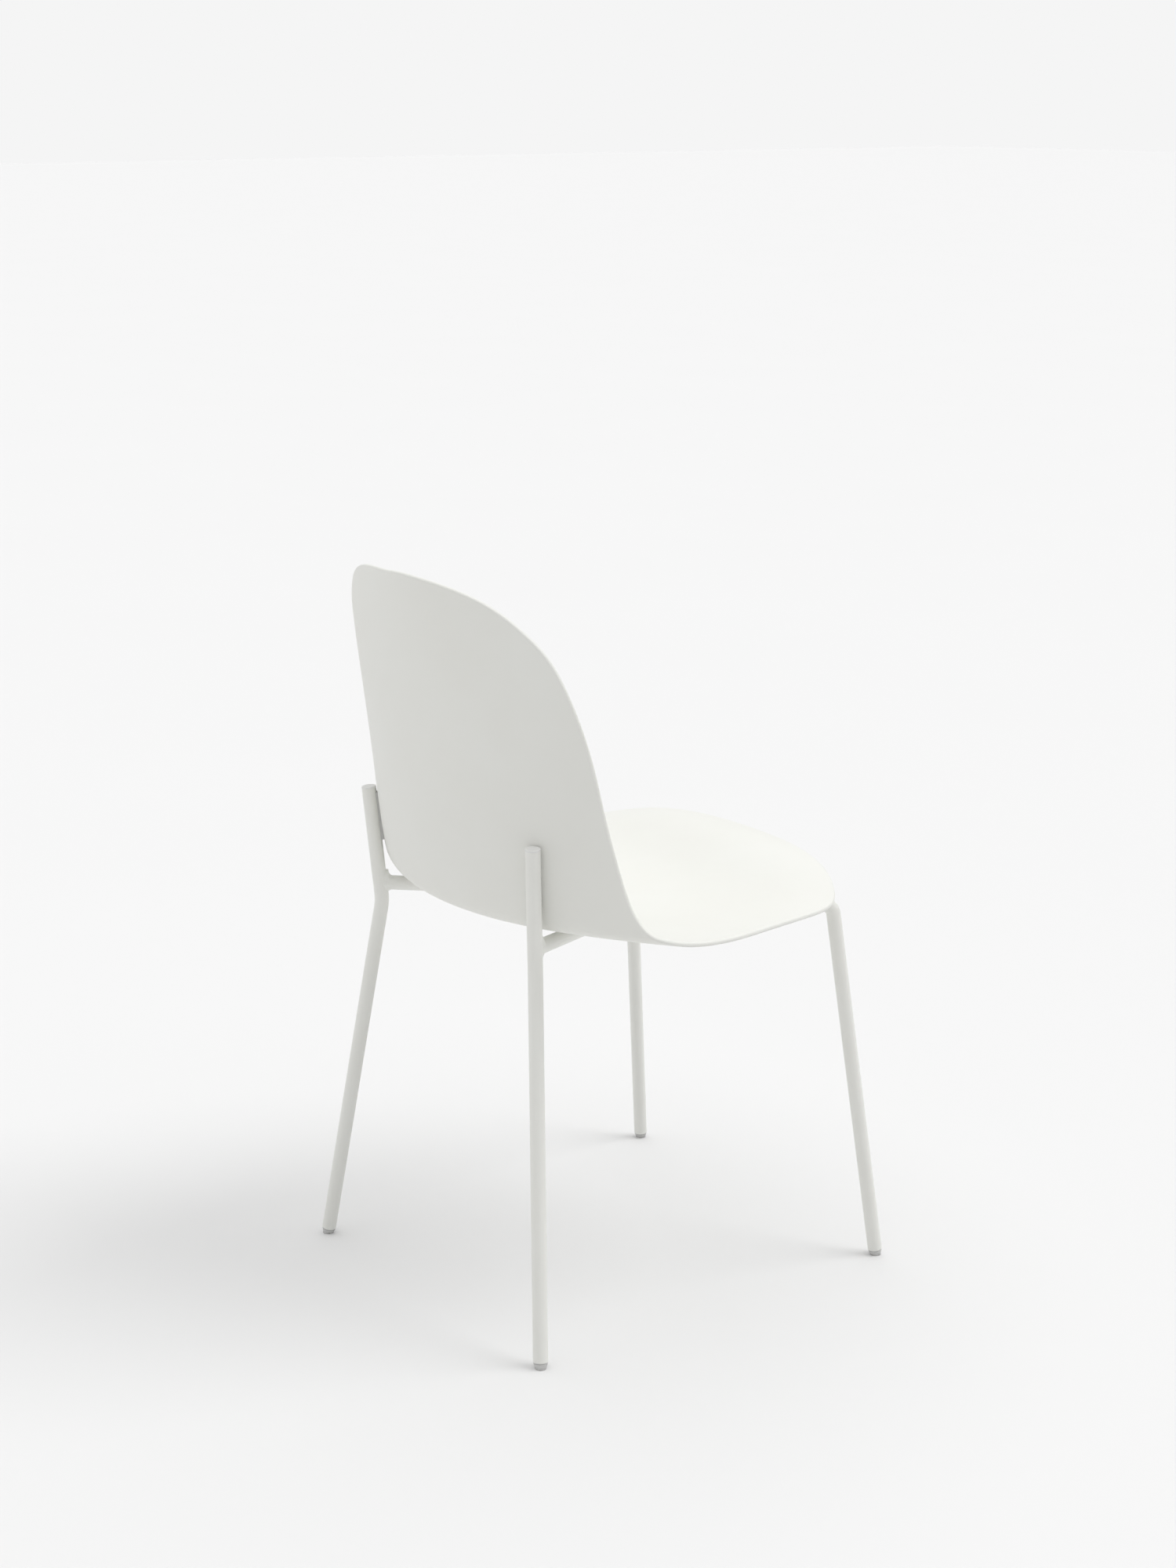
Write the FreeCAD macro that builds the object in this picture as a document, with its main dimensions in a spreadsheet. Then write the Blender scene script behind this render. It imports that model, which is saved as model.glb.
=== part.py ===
import FreeCAD, Part
import math
import os

# Stacking chair: one moulded shell carried by a welded frame of 16 mm steel tube.
# Millimetres, +Z up, floor at Z = 0.  The chair faces -Y and is symmetric about X = 0.
# Pieces on the sitter's left are at +X.

V = FreeCAD.Vector
os.makedirs("parts", exist_ok=True)
doc = FreeCAD.newDocument("stacking_chair")
sheet = doc.addObject("Spreadsheet::Sheet", "Dimensions")

# ---------------------------------------------------------------- driving dimensions
DIMENSIONS = [
    # frame tube
    ("tube_d", 16.0), ("tube_wall", 1.5),
    # rear leg: foot on the floor, kink below the seat, top of the post
    ("rear_foot_x", 210.5), ("rear_foot_y", 222.0),
    ("rear_kink_x", 145.5), ("rear_kink_y", 179.1), ("rear_kink_z", 414.0),
    ("post_top_x", 154.5), ("post_top_y", 188.1), ("post_top_z", 545.5),
    ("rear_bend_r", 60.0),
    # front leg: foot, tight bend under the seat edge, waist of the rail, weld on the rear leg
    ("front_foot_x", 217.5), ("front_foot_y", -247.0),
    ("front_top_x", 181.5), ("front_top_y", -199.5), ("front_top_z", 420.0),
    ("front_bend_r", 13.0),
    ("waist_x", 45.0), ("waist_y", -20.0), ("waist_z", 413.0), ("waist_bend_r", 50.0),
    ("weld_z", 435.0), ("weld_flare", 7.0), ("weld_inset", 0.3),
    # shell
    ("shell_t", 5.0), ("rim_r", 2.2), ("round_back", 0.95), ("round_seat", 0.613),
    ("arch_half_width", 204.0), ("arch_base", 645.9), ("arch_reach", 169.3), ("arch_power", 2.5),
    ("nose_half_width", 256.0), ("nose_base", 30.0), ("nose_reach", 199.5), ("nose_power", 2.75),
    # seat plate and front tabs, welded to the rails
    ("plate_t", 3.0), ("plate_z", 411.5), ("plate_front", 48.0), ("plate_rear", 48.0),
    ("plate_waist", 52.0), ("screw_x", 28.0), ("screw_dy", 34.0),
    ("tab_len", 34.0), ("tab_w", 31.0), ("tab_along", 62.0), ("tab_z", 414.5), ("tab_hole", 19.0),
    ("tab_corner", 9.0),
    # screws, threaded inserts and rivet nuts
    ("boss_d", 17.0), ("insert_d", 7.0), ("insert_len", 9.0), ("thread_d", 5.0),
    ("screw_d", 4.9), ("clear_d", 5.6), ("seat_screw_len", 13.0), ("head_d", 9.5), ("head_len", 2.8),
    ("rivnut_len", 7.0), ("back_screw_reach", 2.0),
    ("back_screw_low", 493.0), ("back_screw_high", 527.0),
    # mounting pads between posts and shell
    ("pad_w", 9.0), ("pad_low", 484.0), ("pad_high", 538.0), ("pad_depth", 12.0),
    # glides and plugs
    ("glide_h", 6.0), ("glide_neck_d", 14.4), ("glide_foot_d", 12.6), ("glide_plug_len", 14.0),
    ("plug_fit", 0.2), ("plug_cap", 1.8), ("plug_len", 10.0), ("plug_edge", 0.7),
    # clip-on stacking bumpers
    ("bumper_len", 24.0), ("bumper_wall", 3.5), ("bumper_along", 118.0), ("bumper_open", 3.0),
]

# Shell stations from the top of the back to the front lip.  Each row holds the control point of
# the centre profile (y, z) and of the side rim (x, y, z).
STATIONS = [
    (264.1, 850.5, 160.8, 194.5, 884.9),
    (223.7, 710.2, 200.6, 192.1, 772.4),
    (229.6, 543.1, 204.6, 135.7, 596.1),
    (203.8, 441.6, 220.4, 116.4, 472.3),
    (154.3, 444.2, 271.3, 105.0, 449.4),
    (26.6, 428.5, 263.2, 4.2, 435.8),
    (-105.0, 430.0, 237.9, -121.9, 438.4),
    (-207.7, 484.7, 220.3, -215.0, 424.8),
    (-265.0, 436.6, 207.8, -263.2, 428.8),
]
STATION_FIELDS = ("mid_y", "mid_z", "rim_x", "rim_y", "rim_z")

rows = list(DIMENSIONS)
for number, station in enumerate(STATIONS):
    for field, value in zip(STATION_FIELDS, station):
        rows.append(("shell_%s_%s" % (chr(97 + number), field), value))
for line, (name, value) in enumerate(rows, start=1):
    sheet.set("A%d" % line, name)
    sheet.set("B%d" % line, str(value))
    sheet.setAlias("B%d" % line, name)
doc.recompute()


def dim(name):
    return float(sheet.get(name))


def bind(obj, **links):
    for prop, expression in links.items():
        obj.setExpression(prop.replace("__", "."), expression)


def point(prefix, z=None):
    height = dim(prefix + "_z") if z is None else z
    return V(dim(prefix + "_x"), dim(prefix + "_y"), height)


# ---------------------------------------------------------------- helpers
def bent_path(corners, radii):
    """Wire of straight runs joined by tangent arcs at the inner corners."""
    edges = []
    start = corners[0]
    for index in range(1, len(corners) - 1):
        corner = corners[index]
        back = (corners[index - 1] - corner).normalize()
        ahead = (corners[index + 1] - corner).normalize()
        opening = back.getAngle(ahead)
        radius = radii[index - 1]
        reach = radius / math.tan(opening / 2.0)
        middle = (back + ahead).normalize()
        centre = corner + middle * (radius / math.sin(opening / 2.0))
        first = corner + back * reach
        last = corner + ahead * reach
        edges.append(Part.makeLine(start, first))
        edges.append(Part.Arc(first, centre - middle * radius, last).toShape())
        start = last
    edges.append(Part.makeLine(start, corners[-1]))
    return Part.Wire(edges)


def facing(direction):
    """Rotation that turns +Z to the given direction."""
    return FreeCAD.Rotation(V(0, 0, 1), direction)


def swept_tube(name, corners, radii, diameter_expression):
    """Solid bar swept along a bent path, driven by a circle whose radius is bound to the sheet."""
    spine = doc.addObject("Part::Feature", name + "_path")
    spine.Shape = bent_path(corners, radii)
    circle = doc.addObject("Part::Circle", name + "_section")
    bind(circle, Radius=diameter_expression)
    circle.Placement = FreeCAD.Placement(corners[0], facing(corners[1] - corners[0]))
    sweep = doc.addObject("Part::Sweep", name)
    sweep.Sections = [circle]
    edge_names = ["Edge%d" % (i + 1) for i in range(len(spine.Shape.Edges))]
    sweep.Spine = (spine, edge_names)
    sweep.Solid = True
    sweep.Frenet = False
    return sweep


def cut(name, base, tool):
    result = doc.addObject("Part::Cut", name)
    result.Base = base
    result.Tool = tool
    return result


def fuse(name, members):
    result = doc.addObject("Part::MultiFuse", name)
    result.Shapes = members
    result.Refine = False
    return result


def mirrored(name, source):
    result = doc.addObject("Part::Mirroring", name)
    result.Source = source
    result.Base = V(0, 0, 0)
    result.Normal = V(1, 0, 0)
    return result


def cylinder(name, radius, height, placement):
    result = doc.addObject("Part::Cylinder", name)
    bind(result, Radius=radius, Height=height)
    result.Placement = placement
    return result


def at(position, direction=V(0, 0, 1)):
    return FreeCAD.Placement(position, facing(direction))


def along(start, end, z):
    """Point of the line start-end at height z."""
    return start + (end - start) * ((z - start.z) / (end.z - start.z))


# ---------------------------------------------------------------- frame centrelines (left side)
rear_foot = V(dim("rear_foot_x"), dim("rear_foot_y"), 0)
rear_kink = point("rear_kink")
post_top = point("post_top")
front_foot = V(dim("front_foot_x"), dim("front_foot_y"), 0)
front_top = point("front_top")
waist = point("waist")
weld = along(rear_kink, post_top, dim("weld_z"))
tube_r = dim("tube_d") / 2.0
bore_r = tube_r - dim("tube_wall")

rear_dir = (rear_kink - rear_foot).normalize()
front_dir = (front_top - front_foot).normalize()
post_dir = (post_top - rear_kink).normalize()
rail_dir = (waist - front_top).normalize()
stub_dir = (waist - weld).normalize()
glide_h = dim("glide_h")
rear_end = along(rear_foot, rear_kink, glide_h + 1.0)
front_end = along(front_foot, front_top, glide_h + 1.0)
post_end = post_top - post_dir * dim("plug_cap")

# rear legs with their posts
rear_corners = [rear_end, rear_kink, post_end]
rear_radii = [dim("rear_bend_r")]
rear_bar = swept_tube("rear_bar", rear_corners, rear_radii, "Dimensions.tube_d / 2")
rear_bore = swept_tube("rear_bore", rear_corners, rear_radii,
                       "Dimensions.tube_d / 2 - Dimensions.tube_wall")

# front legs with their rails, ending on the rear leg
front_corners = [front_end, front_top, waist, weld]
front_radii = [dim("front_bend_r"), dim("waist_bend_r")]
front_bar = swept_tube("front_bar", front_corners, front_radii, "Dimensions.tube_d / 2")
front_bore = swept_tube("front_bore", front_corners, front_radii,
                        "Dimensions.tube_d / 2 - Dimensions.tube_wall")
doc.recompute()

# flared weld where the rail meets the rear leg: it grows along the leg but stays as wide as the tube
flare = dim("weld_flare")
leg_side = stub_dir.cross(post_dir).normalize()
leg_up = leg_side.cross(stub_dir).normalize()
flare_sections = []
side_r = tube_r - dim("weld_inset")
for step in range(6):
    angle = math.radians(18.0 * step)
    centre = weld + stub_dir * (tube_r + flare - flare * math.sin(angle))
    up_r = side_r + 0.01 + (flare + dim("weld_inset")) * (1.0 - math.cos(angle))
    ring = Part.Ellipse(centre + leg_up * up_r, centre + leg_side * side_r, centre)
    flare_sections.append(Part.Wire([ring.toShape()]))
core_ring = Part.Ellipse(weld + leg_up * up_r, weld + leg_side * (side_r - 0.4), weld)
flare_solid = Part.makeLoft(flare_sections, True, False)
flare_core = Part.makeLoft([flare_sections[-1], Part.Wire([core_ring.toShape()])], True, True)
weld_flare = doc.addObject("Part::Feature", "weld_flare_form")
weld_flare.Shape = flare_solid.fuse(flare_core)
front_blank = fuse("front_blank", [front_bar, weld_flare])
front_trimmed = cut("front_trimmed", front_blank, rear_bar)
front_leg_left = cut("front_leg_left", front_trimmed, front_bore)
front_leg_right = mirrored("front_leg_right", front_leg_left)
doc.recompute()

# ---------------------------------------------------------------- shell
# The surface is wider than the shell; the rim is drawn on it and everything outside is left off.
SIDE_MARGIN = 1.05
square = (1.0, 0.0, -1.0 / 3.0, 0.0, 1.0)
fourth = (1.0, -1.0, 1.0, -1.0, 1.0)
across = (-1.0, -0.5, 0.0, 0.5, 1.0)
poles = []
for number in range(len(STATIONS)):
    tag = "shell_%s_" % chr(97 + number)
    mid = V(0, dim(tag + "mid_y"), dim(tag + "mid_z"))
    rim = V(dim(tag + "rim_x"), dim(tag + "rim_y"), dim(tag + "rim_z"))
    # the section is part parabola, part flatter curve of the fourth power; back and seat differ a little
    back_share = min(1.0, max(0.0, (4 - number) / 3.0))
    roundness = dim("round_seat") + (dim("round_back") - dim("round_seat")) * back_share
    parabola = roundness * SIDE_MARGIN ** 2
    curl = (1.0 - roundness) * SIDE_MARGIN ** 4
    row = []
    for side, a, b in zip(across, square, fourth):
        share = parabola * a + curl * b
        row.append(V(rim.x * side * SIDE_MARGIN, mid.y + (rim.y - mid.y) * share,
                     mid.z + (rim.z - mid.z) * share))
    poles.append(row)
spans = len(STATIONS) - 3
outer_surface = Part.BSplineSurface()
outer_surface.buildFromPolesMultsKnots(
    poles, [4] + [1] * (spans - 1) + [4], [5, 5],
    [i / spans for i in range(spans + 1)], [0.0, 1.0], False, False, 3, 4)


def shell_point(s, t):
    """Point of the outer surface: s runs from the top of the back to the front lip, t across."""
    return outer_surface.value(s, 0.5 + 0.5 * t / SIDE_MARGIN)


def arch(prefix, x):
    """Reach of a superellipse outline at the distance x from the middle."""
    power = dim(prefix + "_power")
    share = min(1.0, abs(x) / dim(prefix + "_half_width")) ** power
    return dim(prefix + "_base") + dim(prefix + "_reach") * (1.0 - share) ** (1.0 / power)


def beyond_top(s, t):
    p = shell_point(s, t)
    return p.z - arch("arch", p.x)


def beyond_nose(s, t):
    p = shell_point(s, t)
    return -p.y - arch("nose", p.x)


def crossing(measure, outside, inside, t):
    """Station where the surface line t meets the outline."""
    for _ in range(40):
        middle = 0.5 * (outside + inside)
        if measure(middle, t) > 0:
            outside = middle
        else:
            inside = middle
    return 0.5 * (outside + inside)


top_steps = (0.95, 0.87, 0.74, 0.55, 0.3)
top_line = [(crossing(beyond_top, 0.0, 0.3, t), t) for t in top_steps]
nose_line = [(crossing(beyond_nose, 1.0, 0.7, t), t) for t in top_steps]
side_line = [(s, 1.0) for s in (0.13, 0.19, 0.25, 0.35, 0.45, 0.55, 0.65, 0.74)]
quarter = list(reversed(top_line)) + side_line + nose_line
crown = (crossing(beyond_top, 0.0, 0.3, 0.0), 0.0)
lip = (crossing(beyond_nose, 1.0, 0.7, 0.0), 0.0)
outline = [crown] + quarter + [lip] + [(s, -t) for s, t in reversed(quarter)]
flat_points = [FreeCAD.Base.Vector2d(s, 0.5 + 0.5 * t / SIDE_MARGIN) for s, t in outline]
flat_curve = Part.Geom2d.BSplineCurve2d()
flat_curve.interpolate(Points=flat_points, PeriodicFlag=True)
start = flat_curve.FirstParameter
span = flat_curve.LastParameter - start
marks = [start + span * i / 4.0 for i in range(5)]
rim_edges = [flat_curve.toShape(outer_surface, a, b) for a, b in zip(marks[:-1], marks[1:])]
outer_face = Part.Face(outer_surface, Part.Wire(rim_edges))
outer_face.validate()

# wall of constant thickness towards the sitter, then both rim edges rounded
wall = outer_face.makeOffsetShape(dim("shell_t"), 0.01, fill=True).reversed()
skins = sorted(wall.Faces, key=lambda face: -face.Area)[:2]
rounded = wall.makeFillet(dim("rim_r"), [edge for skin in skins for edge in skin.Edges])
shell_wall = doc.addObject("Part::Feature", "shell_wall")
shell_wall.Shape = Part.makeSolid(Part.Shell(rounded.Faces))


def touch(p):
    """Distance and direction from a point to the outer surface of the shell."""
    distance, pairs, _ = outer_face.distToShape(Part.Vertex(p))
    return distance, (pairs[0][0] - p).normalize()


def underside(x, y):
    """Height of the shell's outer surface above the frame at a plan position."""
    line = Part.makeLine(V(x, y, 380), V(x, y, 470))
    return line.distToShape(outer_face)[1][0][0].z


# ---------------------------------------------------------------- seat plate and front tabs
rails = fuse("rails", [front_bar, mirrored("front_bar_right", front_bar)])
front_x = waist.x + (front_top.x - waist.x) * dim("plate_front") / (waist.y - front_top.y)
rear_x = waist.x + (weld.x - waist.x) * dim("plate_rear") / (weld.y - waist.y)
plate_outline = doc.addObject("Part::Polygon", "seat_plate_outline")
plate_corners = [(front_x, -dim("plate_front")), (dim("plate_waist"), 0.0), (rear_x, dim("plate_rear"))]
plate_corners += [(-x, y) for x, y in reversed(plate_corners)]
plate_outline.Nodes = [V(x, waist.y + y, dim("plate_z")) for x, y in plate_corners]
plate_outline.Close = True
plate_blank = doc.addObject("Part::Extrusion", "seat_plate_blank")
plate_blank.Base = plate_outline
plate_blank.DirMode = "Custom"
plate_blank.Dir = V(0, 0, 1)
plate_blank.Solid = True
bind(plate_blank, LengthFwd="Dimensions.plate_t")

seat_spots = [(sx * dim("screw_x"), waist.y + sy * dim("screw_dy")) for sx in (1, -1) for sy in (1, -1)]
plate_holes = []
for number, (x, y) in enumerate(seat_spots):
    plate_holes.append(cylinder("plate_hole_%d" % number, "Dimensions.clear_d / 2", "Dimensions.plate_t + 2",
                                at(V(x, y, dim("plate_z") - 1))))
plate_tools = fuse("seat_plate_tools", [rails] + plate_holes)
seat_plate = cut("seat_plate", plate_blank, plate_tools)

rail_flat = V(rail_dir.x, rail_dir.y, 0).normalize()
tab_side = V(0, 0, 1).cross(rail_flat)
tab_centre = front_top + rail_dir * dim("tab_along")
tab_box = doc.addObject("Part::Box", "front_tab_box")
bind(tab_box, Length="Dimensions.tab_len", Width="Dimensions.tab_w", Height="Dimensions.plate_t")
tab_turn = FreeCAD.Rotation(V(1, 0, 0), rail_flat)
tab_corner = tab_centre - rail_flat * (dim("tab_len") / 2.0)
tab_box.Placement = FreeCAD.Placement(V(tab_corner.x, tab_corner.y, dim("tab_z")), tab_turn)
doc.recompute()
tab_blank = doc.addObject("Part::Fillet", "front_tab_blank")
tab_blank.Base = tab_box
far_edges = []
for number, edge in enumerate(tab_box.Shape.Edges, start=1):
    middle = edge.CenterOfMass - tab_centre
    upright = abs(edge.tangentAt(edge.FirstParameter).z) > 0.9
    if upright and middle.dot(tab_side) > dim("tab_w") / 2.0:
        far_edges.append((number, dim("tab_corner"), dim("tab_corner")))
tab_blank.Edges = far_edges
tab_spot = tab_centre + tab_side * dim("tab_hole")
tab_drill = cylinder("front_tab_drill", "Dimensions.clear_d / 2", "Dimensions.plate_t + 2",
                     at(V(tab_spot.x, tab_spot.y, dim("tab_z") - 1)))
tab_tools = fuse("front_tab_tools", [front_bar, tab_drill])
front_tab_left = cut("front_tab_left", tab_blank, tab_tools)
front_tab_right = mirrored("front_tab_right", front_tab_left)

# ---------------------------------------------------------------- screws from below, inserts, bosses
under_spots = [(x, y, dim("plate_z")) for x, y in seat_spots]
under_spots += [(side * tab_spot.x, tab_spot.y, dim("tab_z")) for side in (1, -1)]
screws = []
inserts = []
bosses = []
pockets = []
for number, (x, y, z) in enumerate(under_spots):
    top = z + dim("plate_t")
    head = cylinder("under_head_%d" % number, "Dimensions.head_d / 2", "Dimensions.head_len",
                    at(V(x, y, z - dim("head_len"))))
    socket = doc.addObject("Part::Prism", "under_socket_%d" % number)
    socket.Polygon = 6
    bind(socket, Circumradius="Dimensions.head_d / 5", Height="Dimensions.head_len")
    socket.Placement = at(V(x, y, z - 1.5 * dim("head_len")))
    shank = cylinder("under_shank_%d" % number, "Dimensions.screw_d / 2", "Dimensions.seat_screw_len",
                     at(V(x, y, z)))
    screws.append(cut("under_screw_%d" % number, fuse("under_screw_form_%d" % number, [head, shank]), socket))
    sleeve = cylinder("insert_sleeve_%d" % number, "Dimensions.insert_d / 2", "Dimensions.insert_len",
                      at(V(x, y, top)))
    thread = cylinder("insert_thread_%d" % number, "Dimensions.thread_d / 2", "Dimensions.insert_len + 2",
                      at(V(x, y, top - 1)))
    inserts.append(cut("insert_%d" % number, sleeve, thread))
    boss = doc.addObject("Part::Cylinder", "boss_%d" % number)
    bind(boss, Radius="Dimensions.boss_d / 2")
    boss.Height = underside(x, y) + dim("shell_t") / 2.0 - top
    boss.Placement = at(V(x, y, top))
    bosses.append(boss)
    below = at(V(x, y, top - 1))
    pockets.append(cylinder("insert_pocket_%d" % number, "Dimensions.insert_d / 2",
                            "Dimensions.insert_len + 1", below))
    pockets.append(cylinder("screw_pocket_%d" % number, "Dimensions.clear_d / 2",
                            "Dimensions.seat_screw_len - Dimensions.plate_t + 2", below))


def group(name, members):
    result = doc.addObject("Part::Compound", name)
    result.Links = members
    return result


seat_screws = group("seat_screws", screws[:4])
front_screws = group("front_screws", screws[4:])
seat_inserts = group("seat_inserts", inserts)

# ---------------------------------------------------------------- post fixings (left side)
back_screws_left = []
rivnuts_left = []
post_drills = []
for number, level in enumerate((dim("back_screw_low"), dim("back_screw_high"))):
    centre = along(rear_kink, post_top, level)
    distance, inward = touch(centre)
    face_at = distance + dim("shell_t")
    outward = inward * -1.0
    cone = doc.addObject("Part::Cone", "back_head_%d" % number)
    bind(cone, Radius1="Dimensions.head_d / 2", Radius2="Dimensions.screw_d / 2",
         Height="Dimensions.head_len")
    cone.Placement = at(centre + inward * (face_at - 0.2), outward)
    shank = doc.addObject("Part::Cylinder", "back_shank_%d" % number)
    bind(shank, Radius="Dimensions.screw_d / 2")
    shank.Height = face_at - 0.2 - dim("back_screw_reach")
    shank.Placement = at(centre + inward * (face_at - 0.2), outward)
    drive = doc.addObject("Part::Prism", "back_drive_%d" % number)
    drive.Polygon = 6
    bind(drive, Circumradius="Dimensions.head_d / 5", Height="Dimensions.head_len")
    drive.Placement = at(centre + inward * (face_at + 1.0), outward)
    back_screws_left.append(cut("back_screw_%d" % number, fuse("back_screw_form_%d" % number, [cone, shank]),
                                drive))
    shell_drill = cylinder("shell_drill_%d" % number, "Dimensions.clear_d / 2", "Dimensions.shell_t * 4",
                           at(centre + inward * (tube_r - 1.0), inward))
    countersink = doc.addObject("Part::Cone", "countersink_%d" % number)
    bind(countersink, Radius1="Dimensions.head_d / 2 + 0.6", Radius2="Dimensions.screw_d / 2",
         Height="Dimensions.head_len + 0.6")
    countersink.Placement = at(centre + inward * (face_at + 0.4), outward)
    pockets += [shell_drill, countersink, mirrored("shell_drill_right_%d" % number, shell_drill),
                mirrored("countersink_right_%d" % number, countersink)]
    body = cylinder("rivnut_body_%d" % number, "Dimensions.insert_d / 2", "Dimensions.rivnut_len",
                    at(centre + inward * (tube_r - 1.0), outward))
    hole = cylinder("rivnut_hole_%d" % number, "Dimensions.thread_d / 2", "Dimensions.rivnut_len + 2",
                    at(centre + inward * (tube_r + 1.0), outward))
    rivnuts_left.append(cut("rivnut_%d" % number, body, hole))
    post_drills.append(cylinder("post_drill_%d" % number, "Dimensions.insert_d / 2", "Dimensions.tube_d / 2",
                                at(centre + inward * (tube_r + 3.0), outward)))
back_left = group("back_screws_left", back_screws_left)
back_screws = group("back_screws", [back_left, mirrored("back_screws_right", back_left)])
rivnut_left = group("rivnuts_left", rivnuts_left)
post_rivnuts = group("post_rivnuts", [rivnut_left, mirrored("rivnuts_right", rivnut_left)])

rear_tools = fuse("rear_tools", [rear_bore] + post_drills)
rear_leg_left = cut("rear_leg_left", rear_bar, rear_tools)
rear_leg_right = mirrored("rear_leg_right", rear_leg_left)

shell_blank = fuse("shell_blank", [shell_wall] + bosses)
shell_pockets = fuse("shell_pockets", pockets)
seat_shell = cut("seat_shell", shell_blank, shell_pockets)

# pad between post and shell: a strip from the post towards the shell, less both of them
pad_start = along(rear_kink, post_top, dim("pad_low"))
pad_end = along(rear_kink, post_top, dim("pad_high"))
pad_inward = touch(along(rear_kink, post_top, 0.5 * (dim("pad_low") + dim("pad_high"))))[1]
pad_across = pad_inward.cross(post_dir).normalize()
pad_inward = post_dir.cross(pad_across).normalize()
pad_box = doc.addObject("Part::Box", "post_pad_box")
bind(pad_box, Length="Dimensions.pad_w", Width="Dimensions.pad_depth")
pad_box.Height = (pad_end - pad_start).Length
pad_frame = FreeCAD.Matrix(pad_across.x, pad_inward.x, post_dir.x, 0,
                           pad_across.y, pad_inward.y, post_dir.y, 0,
                           pad_across.z, pad_inward.z, post_dir.z, 0, 0, 0, 0, 1)
pad_turn = FreeCAD.Placement(pad_frame).Rotation
pad_box.Placement = FreeCAD.Placement(pad_start - pad_across * (dim("pad_w") / 2.0), pad_turn)
pad_drills = []
for number, level in enumerate((dim("back_screw_low"), dim("back_screw_high"))):
    centre = along(rear_kink, post_top, level)
    pad_drills.append(cylinder("pad_drill_%d" % number, "Dimensions.clear_d / 2", "Dimensions.tube_d * 2",
                               at(centre, touch(centre)[1])))
pad_tools = fuse("post_pad_tools", [rear_bar, shell_wall] + pad_drills)
post_pad_left = cut("post_pad_left", pad_box, pad_tools)
post_pad_right = mirrored("post_pad_right", post_pad_left)


# ---------------------------------------------------------------- plugs, glides, bumpers
def turned(name, profile, placement):
    """Solid turned about +Z from (radius, height) corners."""
    outline_wire = doc.addObject("Part::Polygon", name + "_profile")
    outline_wire.Nodes = [V(r, 0, z) for r, z in profile]
    outline_wire.Close = True
    result = doc.addObject("Part::Revolution", name)
    result.Source = outline_wire
    result.Axis = V(0, 0, 1)
    result.Base = V(0, 0, 0)
    result.Angle = 360.0
    result.Solid = True
    result.Placement = placement
    return result


plug_r = bore_r - dim("plug_fit")
edge = dim("plug_edge")
cap = dim("plug_cap")
cap_profile = [(0, -dim("plug_len")), (plug_r, -dim("plug_len")), (plug_r, 0), (tube_r, 0),
               (tube_r, cap - edge), (tube_r - 0.3 * edge, cap - 0.3 * edge), (tube_r - edge, cap), (0, cap)]
post_plug_left = turned("post_plug_left", cap_profile, at(post_end, post_dir))
post_plug_right = mirrored("post_plug_right", post_plug_left)

floor_box = doc.addObject("Part::Box", "below_floor")
floor_box.Length = 700
floor_box.Width = 700
floor_box.Height = 20
floor_box.Placement = at(V(-350, -350, -20))
neck_r = dim("glide_neck_d") / 2.0
foot_r = dim("glide_foot_d") / 2.0
glides = {}
for name, end, direction in (("rear", rear_end, rear_dir), ("front", front_end, front_dir)):
    profile = [(0, -11), (foot_r - 0.6, -11), (foot_r, -5.4), (neck_r + 0.4, -1.7), (neck_r - 0.2, -1.3),
               (neck_r - 0.2, -0.8), (tube_r - 0.3, -0.8), (tube_r - 0.3, 0), (plug_r, 0),
               (plug_r, dim("glide_plug_len")), (0, dim("glide_plug_len"))]
    form = turned("glide_form_" + name, profile, at(end, direction))
    left = cut("glide_%s_left" % name, form, floor_box)
    glides["glide_%s_left" % name] = left
    glides["glide_%s_right" % name] = mirrored("glide_%s_right" % name, left)

clip_centre = front_top + rail_dir * dim("bumper_along")
clip_start = clip_centre - rail_dir * (dim("bumper_len") / 2.0)
clip = cylinder("bumper_form", "Dimensions.tube_d / 2 + Dimensions.bumper_wall", "Dimensions.bumper_len",
                at(clip_start, rail_dir))
mouth = doc.addObject("Part::Box", "bumper_mouth")
mouth.Length = 60
mouth.Width = 60
mouth.Height = 20
mouth.Placement = at(V(clip_centre.x - 30, clip_centre.y - 30, clip_centre.z + dim("bumper_open")))
bumper_tools = fuse("bumper_tools", [front_bar, mouth])
bumper_left = cut("stacking_bumper_left", clip, bumper_tools)
bumper_right = mirrored("stacking_bumper_right", bumper_left)
doc.recompute()

# ---------------------------------------------------------------- check and export
nodes = {
    "seat_shell": seat_shell,
    "rear_leg_left": rear_leg_left, "rear_leg_right": rear_leg_right,
    "front_leg_left": front_leg_left, "front_leg_right": front_leg_right,
    "seat_plate": seat_plate, "front_tab_left": front_tab_left, "front_tab_right": front_tab_right,
    "post_pad_left": post_pad_left, "post_pad_right": post_pad_right,
    "post_plug_left": post_plug_left, "post_plug_right": post_plug_right,
    "back_screws": back_screws, "post_rivnuts": post_rivnuts,
    "seat_screws": seat_screws, "front_screws": front_screws, "seat_inserts": seat_inserts,
    "stacking_bumper_left": bumper_left, "stacking_bumper_right": bumper_right,
}
nodes.update(glides)
for obj in doc.Objects:
    if "Invalid" in obj.State or "Error" in obj.State:
        raise RuntimeError("%s does not recompute: %s" % (obj.Name, obj.State))
for name, obj in nodes.items():
    obj.Label = name
    shape = obj.Shape
    if shape.isNull() or not shape.isValid() or not shape.Solids:
        raise RuntimeError("%s is not a valid solid" % name)
for name, obj in nodes.items():
    shape = obj.Shape
    print("%-24s %2d solid(s) %10.0f mm3" % (name, len(shape.Solids), shape.Volume))
    shape.exportStep("parts/%s.step" % name)
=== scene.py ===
import math

import bpy
from mathutils import Matrix, Vector

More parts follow.
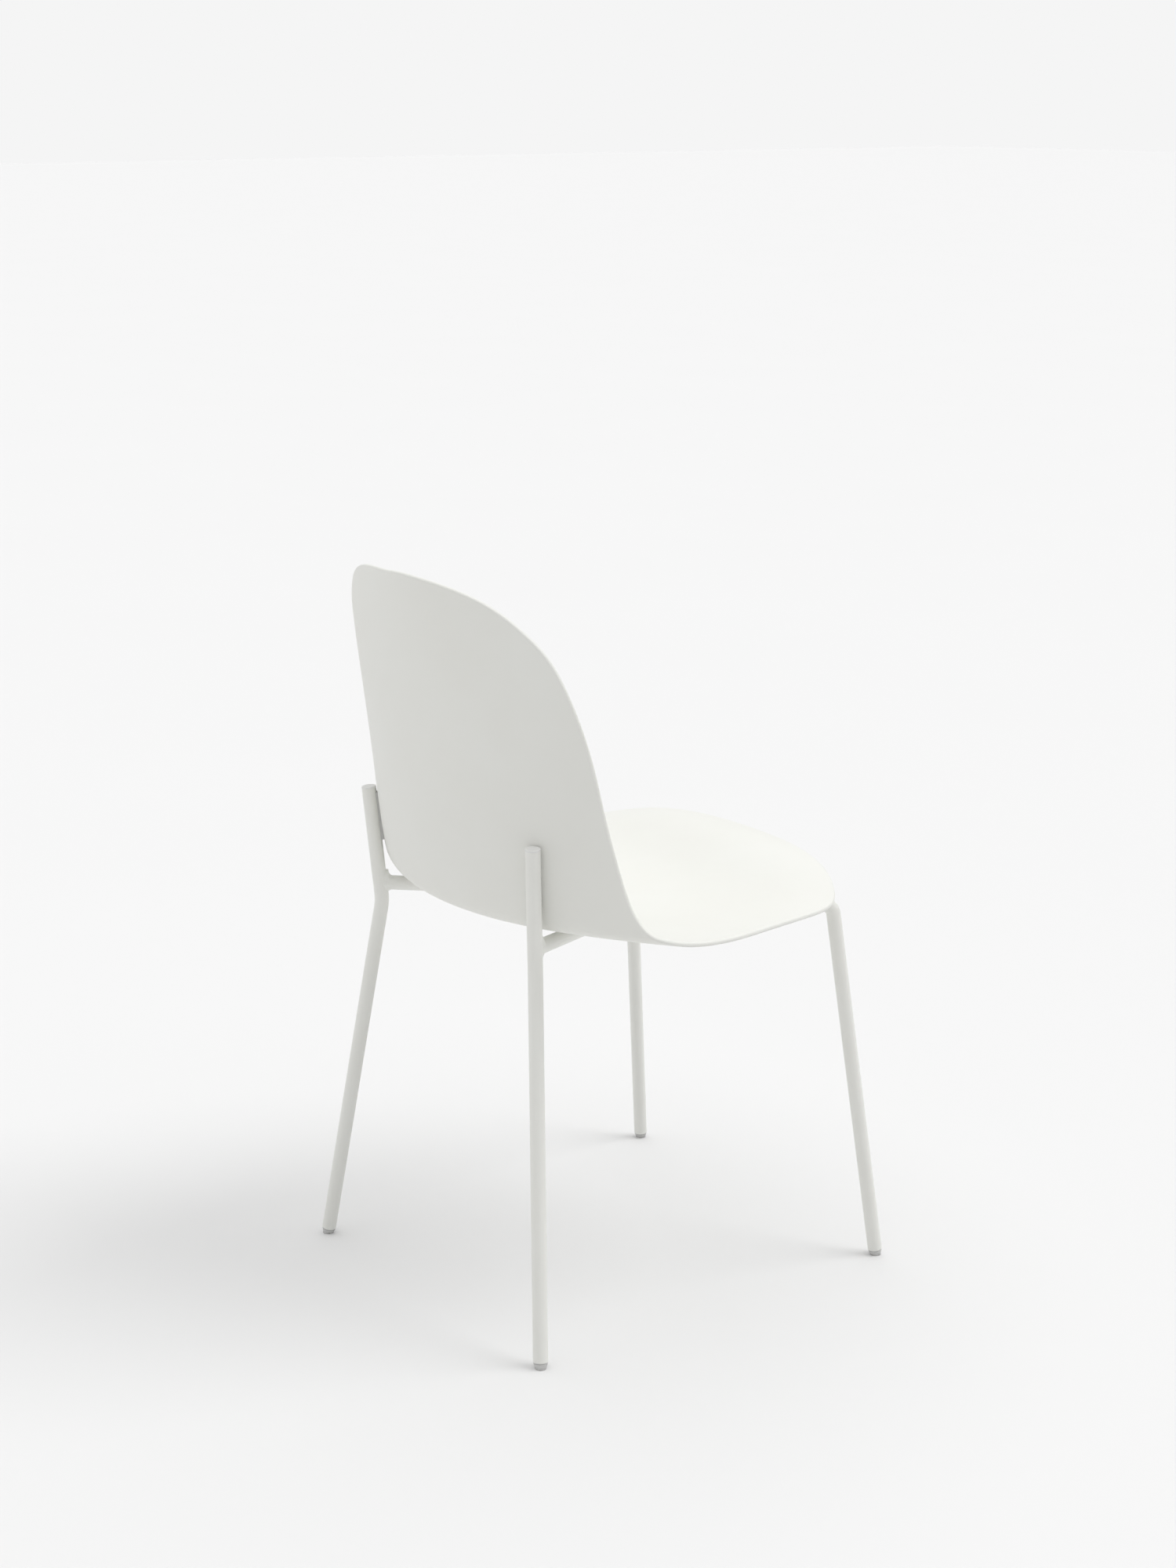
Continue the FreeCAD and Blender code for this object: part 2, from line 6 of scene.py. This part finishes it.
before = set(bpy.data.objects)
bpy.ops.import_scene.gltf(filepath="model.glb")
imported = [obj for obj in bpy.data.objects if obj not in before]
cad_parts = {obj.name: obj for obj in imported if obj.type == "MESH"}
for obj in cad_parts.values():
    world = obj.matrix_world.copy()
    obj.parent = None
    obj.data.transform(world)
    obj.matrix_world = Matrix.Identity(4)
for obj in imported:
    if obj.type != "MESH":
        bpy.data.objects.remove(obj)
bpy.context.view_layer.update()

# Looks of the white stacking chair: a moulded shell on a powder-coated tube frame.
# Metres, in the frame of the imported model: +Z up, floor at Z = 0, the chair faces -Y.

SCENE = bpy.context.scene


# ---------------------------------------------------------------- material helpers
def new_material(name):
    """Empty node tree with a Principled shader; returns the material, its tree and the shader."""
    material = bpy.data.materials.new(name)
    material.use_nodes = True
    tree = material.node_tree
    return material, tree, tree.nodes["Principled BSDF"]


def object_noise(tree, scale, detail, roughness=0.5, stretch=(1.0, 1.0, 1.0)):
    """Noise in object coordinates, in metres; scale is the number of grains in a metre."""
    place = tree.nodes.new("ShaderNodeTexCoord")
    mapping = tree.nodes.new("ShaderNodeMapping")
    mapping.inputs["Scale"].default_value = stretch
    noise = tree.nodes.new("ShaderNodeTexNoise")
    noise.inputs["Scale"].default_value = scale
    noise.inputs["Detail"].default_value = detail
    noise.inputs["Roughness"].default_value = roughness
    tree.links.new(place.outputs["Object"], mapping.inputs["Vector"])
    tree.links.new(mapping.outputs["Vector"], noise.inputs["Vector"])
    return noise.outputs["Fac"]


def spread(tree, factor, low, high, start=0.3, end=0.7):
    """Number that runs from low to high as the factor runs from start to end, and no further."""
    node = tree.nodes.new("ShaderNodeMapRange")
    node.inputs["From Min"].default_value = start
    node.inputs["From Max"].default_value = end
    node.inputs["To Min"].default_value = low
    node.inputs["To Max"].default_value = high
    tree.links.new(factor, node.inputs["Value"])
    return node.outputs["Result"]


def blended(tree, factor, first, second):
    """Colour between two colours by a factor."""
    node = tree.nodes.new("ShaderNodeMix")
    node.data_type = "RGBA"
    node.inputs["A"].default_value = (*first, 1.0)
    node.inputs["B"].default_value = (*second, 1.0)
    tree.links.new(factor, node.inputs["Factor"])
    return node.outputs["Result"]


def relief(tree, shader, heights):
    """Bump made of several layers; each is a height output, its depth in metres and its strength."""
    normal = None
    for height, depth, strength in heights:
        bump = tree.nodes.new("ShaderNodeBump")
        bump.inputs["Distance"].default_value = depth
        bump.inputs["Strength"].default_value = strength
        tree.links.new(height, bump.inputs["Height"])
        if normal is not None:
            tree.links.new(normal, bump.inputs["Normal"])
        normal = bump.outputs["Normal"]
    tree.links.new(normal, shader.inputs["Normal"])


def height_above_floor(tree, low, high):
    """Factor that is 1 at the height low and 0 at the height high."""
    place = tree.nodes.new("ShaderNodeTexCoord")
    parts = tree.nodes.new("ShaderNodeSeparateXYZ")
    tree.links.new(place.outputs["Object"], parts.inputs["Vector"])
    return spread(tree, parts.outputs["Z"], 1.0, 0.0, low, high)


def product(tree, first, second):
    """One number times another."""
    node = tree.nodes.new("ShaderNodeMath")
    node.operation = "MULTIPLY"
    tree.links.new(first, node.inputs[0])
    tree.links.new(second, node.inputs[1])
    return node.outputs["Value"]


# ---------------------------------------------------------------- materials
# The shell and the frame share one white, which drifts a little towards a warmer one.
WHITE = (0.815, 0.818, 0.782)
WHITE_WARM = (0.80, 0.80, 0.76)
FLOOR_WHITE = (0.80, 0.80, 0.80)
FLOOR_WHITE_LOW = (0.797, 0.797, 0.797)
PAD_GREY = (0.56, 0.56, 0.55)
PAD_GREY_LOW = (0.50, 0.50, 0.49)

# Scale of the fine marks on a metal piece: the same each way, or squeezed along Z so they run around.
MARKS_EVEN = (1.0, 1.0, 1.0)
MARKS_AROUND = (1.0, 1.0, 6.0)


def shell_plastic():
    """Injection-moulded polypropylene with a fine eroded grain and faint flow clouds."""
    material, tree, shader = new_material("shell_plastic")
    clouds = object_noise(tree, 9.0, 3.0)
    grain = object_noise(tree, 1400.0, 2.0, 0.6)
    soft = object_noise(tree, 260.0, 2.0)
    tree.links.new(blended(tree, spread(tree, clouds, 0.0, 1.0), WHITE, WHITE_WARM),
                   shader.inputs["Base Color"])
    tree.links.new(spread(tree, grain, 0.50, 0.62), shader.inputs["Roughness"])
    shader.inputs["IOR"].default_value = 1.46
    relief(tree, shader, [(soft, 0.0002, 0.06), (grain, 0.00005, 0.35)])
    return material


def powder_coat():
    """Satin polyester powder coat with a light orange-peel surface."""
    material, tree, shader = new_material("powder_coat")
    clouds = object_noise(tree, 14.0, 2.0)
    peel = object_noise(tree, 700.0, 1.5, 0.4)
    dust = object_noise(tree, 3200.0, 1.0)
    tree.links.new(blended(tree, spread(tree, clouds, 0.0, 1.0), WHITE, WHITE_WARM),
                   shader.inputs["Base Color"])
    tree.links.new(spread(tree, peel, 0.34, 0.46), shader.inputs["Roughness"])
    shader.inputs["IOR"].default_value = 1.5
    relief(tree, shader, [(peel, 0.00012, 0.30), (dust, 0.00002, 0.25)])
    return material


def matte_plastic(name, colour, scuff, low, high):
    """Small moulded part, scuffed below the height low and less and less up to the height high."""
    material, tree, shader = new_material(name)
    grain = object_noise(tree, 1800.0, 2.0)
    smears = object_noise(tree, 420.0, 4.0, 0.7, (1.0, 1.0, 3.0))
    worn = product(tree, height_above_floor(tree, low, high), spread(tree, smears, 0.0, 1.0, 0.4, 0.6))
    tree.links.new(blended(tree, worn, colour, scuff), shader.inputs["Base Color"])
    tree.links.new(spread(tree, smears, 0.42, 0.68), shader.inputs["Roughness"])
    shader.inputs["IOR"].default_value = 1.48
    relief(tree, shader, [(grain, 0.00004, 0.4)])
    return material


def soft_pad():
    """Light grey elastomer between post and shell."""
    material, tree, shader = new_material("soft_pad")
    grain = object_noise(tree, 2400.0, 3.0, 0.7)
    tree.links.new(blended(tree, spread(tree, grain, 0.0, 1.0), PAD_GREY, PAD_GREY_LOW),
                   shader.inputs["Base Color"])
    tree.links.new(spread(tree, grain, 0.70, 0.85), shader.inputs["Roughness"])
    relief(tree, shader, [(grain, 0.00005, 0.4)])
    return material


def metal(name, first, second, rough_low, rough_high, stretch):
    """Plated metal with fine turning marks and small tone changes."""
    material, tree, shader = new_material(name)
    marks = object_noise(tree, 2600.0, 3.0, 0.6, stretch)
    stains = object_noise(tree, 240.0, 3.0)
    tree.links.new(blended(tree, spread(tree, stains, 0.0, 1.0), first, second),
                   shader.inputs["Base Color"])
    tree.links.new(spread(tree, marks, rough_low, rough_high), shader.inputs["Roughness"])
    shader.inputs["Metallic"].default_value = 1.0
    relief(tree, shader, [(marks, 0.00003, 0.35)])
    return material


def floor_paint():
    """Plain pale floor, with a barely visible roller texture."""
    material, tree, shader = new_material("floor_paint")
    mottle = object_noise(tree, 1.6, 2.0)
    nap = object_noise(tree, 420.0, 2.0)
    tree.links.new(blended(tree, spread(tree, mottle, 0.0, 1.0), FLOOR_WHITE, FLOOR_WHITE_LOW),
                   shader.inputs["Base Color"])
    shader.inputs["Roughness"].default_value = 0.9
    shader.inputs["Specular IOR Level"].default_value = 0.1
    relief(tree, shader, [(nap, 0.0001, 0.05)])
    return material


# ---------------------------------------------------------------- finish of every CAD node
plastic = shell_plastic()
coat = powder_coat()
plug = matte_plastic("plug_plastic", colour=(0.78, 0.78, 0.765), scuff=(0.70, 0.70, 0.69),
                     low=0.53, high=0.55)
glide = matte_plastic("glide_plastic", colour=(0.60, 0.60, 0.59), scuff=(0.30, 0.29, 0.28),
                      low=0.0, high=0.004)
bumper = matte_plastic("bumper_plastic", colour=(0.66, 0.66, 0.65), scuff=(0.55, 0.55, 0.54),
                       low=0.405, high=0.42)
pad = soft_pad()
zinc = metal("zinc_steel", first=(0.46, 0.46, 0.46), second=(0.36, 0.37, 0.38),
             rough_low=0.30, rough_high=0.45, stretch=MARKS_EVEN)
rivet_steel = metal("rivet_steel", first=(0.55, 0.55, 0.56), second=(0.46, 0.47, 0.48),
                    rough_low=0.34, rough_high=0.5, stretch=MARKS_AROUND)
brass = metal("insert_brass", first=(0.70, 0.52, 0.26), second=(0.60, 0.44, 0.21),
              rough_low=0.26, rough_high=0.4, stretch=MARKS_AROUND)

# The finish of each node goes by how its name starts.
FINISHES = {
    "seat_shell": plastic,
    "rear_leg": coat,
    "front_leg": coat,
    "seat_plate": coat,
    "front_tab": coat,
    "post_pad": pad,
    "post_plug": plug,
    "back_screws": zinc,
    "seat_screws": zinc,
    "front_screws": zinc,
    "post_rivnuts": rivet_steel,
    "seat_inserts": brass,
    "stacking_bumper": bumper,
    "glide": glide,
}
for name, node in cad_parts.items():
    finish = next(material for start, material in FINISHES.items() if name.startswith(start))
    node.data.materials.clear()
    node.data.materials.append(finish)


# ---------------------------------------------------------------- floor, light, camera
FLOOR_HALF = 40.0

# The photograph's view: from behind the chair and its sitter's right.
CAMERA_PLACE = (-2.2207, 1.6777, 1.2937)
CAMERA_AZIMUTH = 232.95      # degrees; 0 looks along +Y, with +X to the right
CAMERA_PITCH = 14.958        # degrees below level
CAMERA_LENS = 60.13          # millimetres
SENSOR_HEIGHT = 36.0         # millimetres


def plain_floor():
    """Large level sheet that the glides stand on."""
    half = FLOOR_HALF
    mesh = bpy.data.meshes.new("floor")
    corners = [(-half, -half, 0.0), (half, -half, 0.0), (half, half, 0.0), (-half, half, 0.0)]
    mesh.from_pydata(corners, [], [(0, 1, 2, 3)])
    mesh.materials.append(floor_paint())
    floor = bpy.data.objects.new("floor", mesh)
    SCENE.collection.objects.link(floor)


def aim(obj, place, towards):
    """Puts a light at a place, pointing at another."""
    obj.location = place
    obj.rotation_euler = (Vector(towards) - Vector(place)).to_track_quat("-Z", "Y").to_euler()


def sun(name, direction, strength, softness):
    """Sun lamp that shines from a direction; softness is how wide it looks, in degrees."""
    data = bpy.data.lights.new(name, "SUN")
    data.energy = strength
    data.angle = math.radians(softness)
    lamp = bpy.data.objects.new(name, data)
    SCENE.collection.objects.link(lamp)
    aim(lamp, direction, (0.0, 0.0, 0.0))


def studio_world(surround, tilt, bright_side, seen):
    """White surround, brighter towards one side; the camera sees the paper's own tone behind the floor."""
    world = bpy.data.worlds.new("studio")
    world.use_nodes = True
    SCENE.world = world
    tree = world.node_tree
    tree.nodes.clear()
    output = tree.nodes.new("ShaderNodeOutputWorld")
    mix = tree.nodes.new("ShaderNodeMixShader")
    path = tree.nodes.new("ShaderNodeLightPath")
    place = tree.nodes.new("ShaderNodeTexCoord")
    towards = tree.nodes.new("ShaderNodeVectorMath")
    towards.operation = "DOT_PRODUCT"
    towards.inputs[1].default_value = bright_side
    tree.links.new(place.outputs["Generated"], towards.inputs[0])
    level = spread(tree, towards.outputs["Value"], surround * (1.0 - tilt), surround * (1.0 + tilt),
                   start=-1.0, end=1.0)
    lit = tree.nodes.new("ShaderNodeBackground")
    paper = tree.nodes.new("ShaderNodeBackground")
    paper.inputs["Color"].default_value = (1.0, 1.0, 1.0, 1.0)
    paper.inputs["Strength"].default_value = seen
    tree.links.new(level, lit.inputs["Strength"])
    lit.inputs["Color"].default_value = (1.0, 1.0, 1.0, 1.0)
    tree.links.new(path.outputs["Is Camera Ray"], mix.inputs["Fac"])
    tree.links.new(lit.outputs["Background"], mix.inputs[1])
    tree.links.new(paper.outputs["Background"], mix.inputs[2])
    tree.links.new(mix.outputs["Shader"], output.inputs["Surface"])


def photo_camera():
    """Camera at its place, turned by its azimuth and pitch, without roll."""
    azimuth = math.radians(CAMERA_AZIMUTH)
    pitch = math.radians(CAMERA_PITCH)
    right = Vector((math.cos(azimuth), math.sin(azimuth), 0.0))
    back = Vector((math.sin(azimuth) * math.cos(pitch), -math.cos(azimuth) * math.cos(pitch),
                   math.sin(pitch)))
    up = back.cross(right)
    data = bpy.data.cameras.new("camera")
    data.sensor_fit = "VERTICAL"
    data.sensor_height = SENSOR_HEIGHT
    data.lens = CAMERA_LENS
    camera = bpy.data.objects.new("camera", data)
    SCENE.collection.objects.link(camera)
    turn = Matrix((right, up, back)).transposed().to_4x4()
    camera.matrix_world = Matrix.Translation(CAMERA_PLACE) @ turn
    SCENE.camera = camera


SCENE.view_settings.view_transform = "Standard"
plain_floor()
studio_world(surround=0.40, tilt=1.0, bright_side=(0.72, 0.69, 0.10), seen=0.913)
sun("soft_box", (-0.12, -0.34, 1.0), 1.72, 110.0)
sun("key_light", (-0.42, -0.48, 0.77), 0.95, 35.0)
photo_camera()
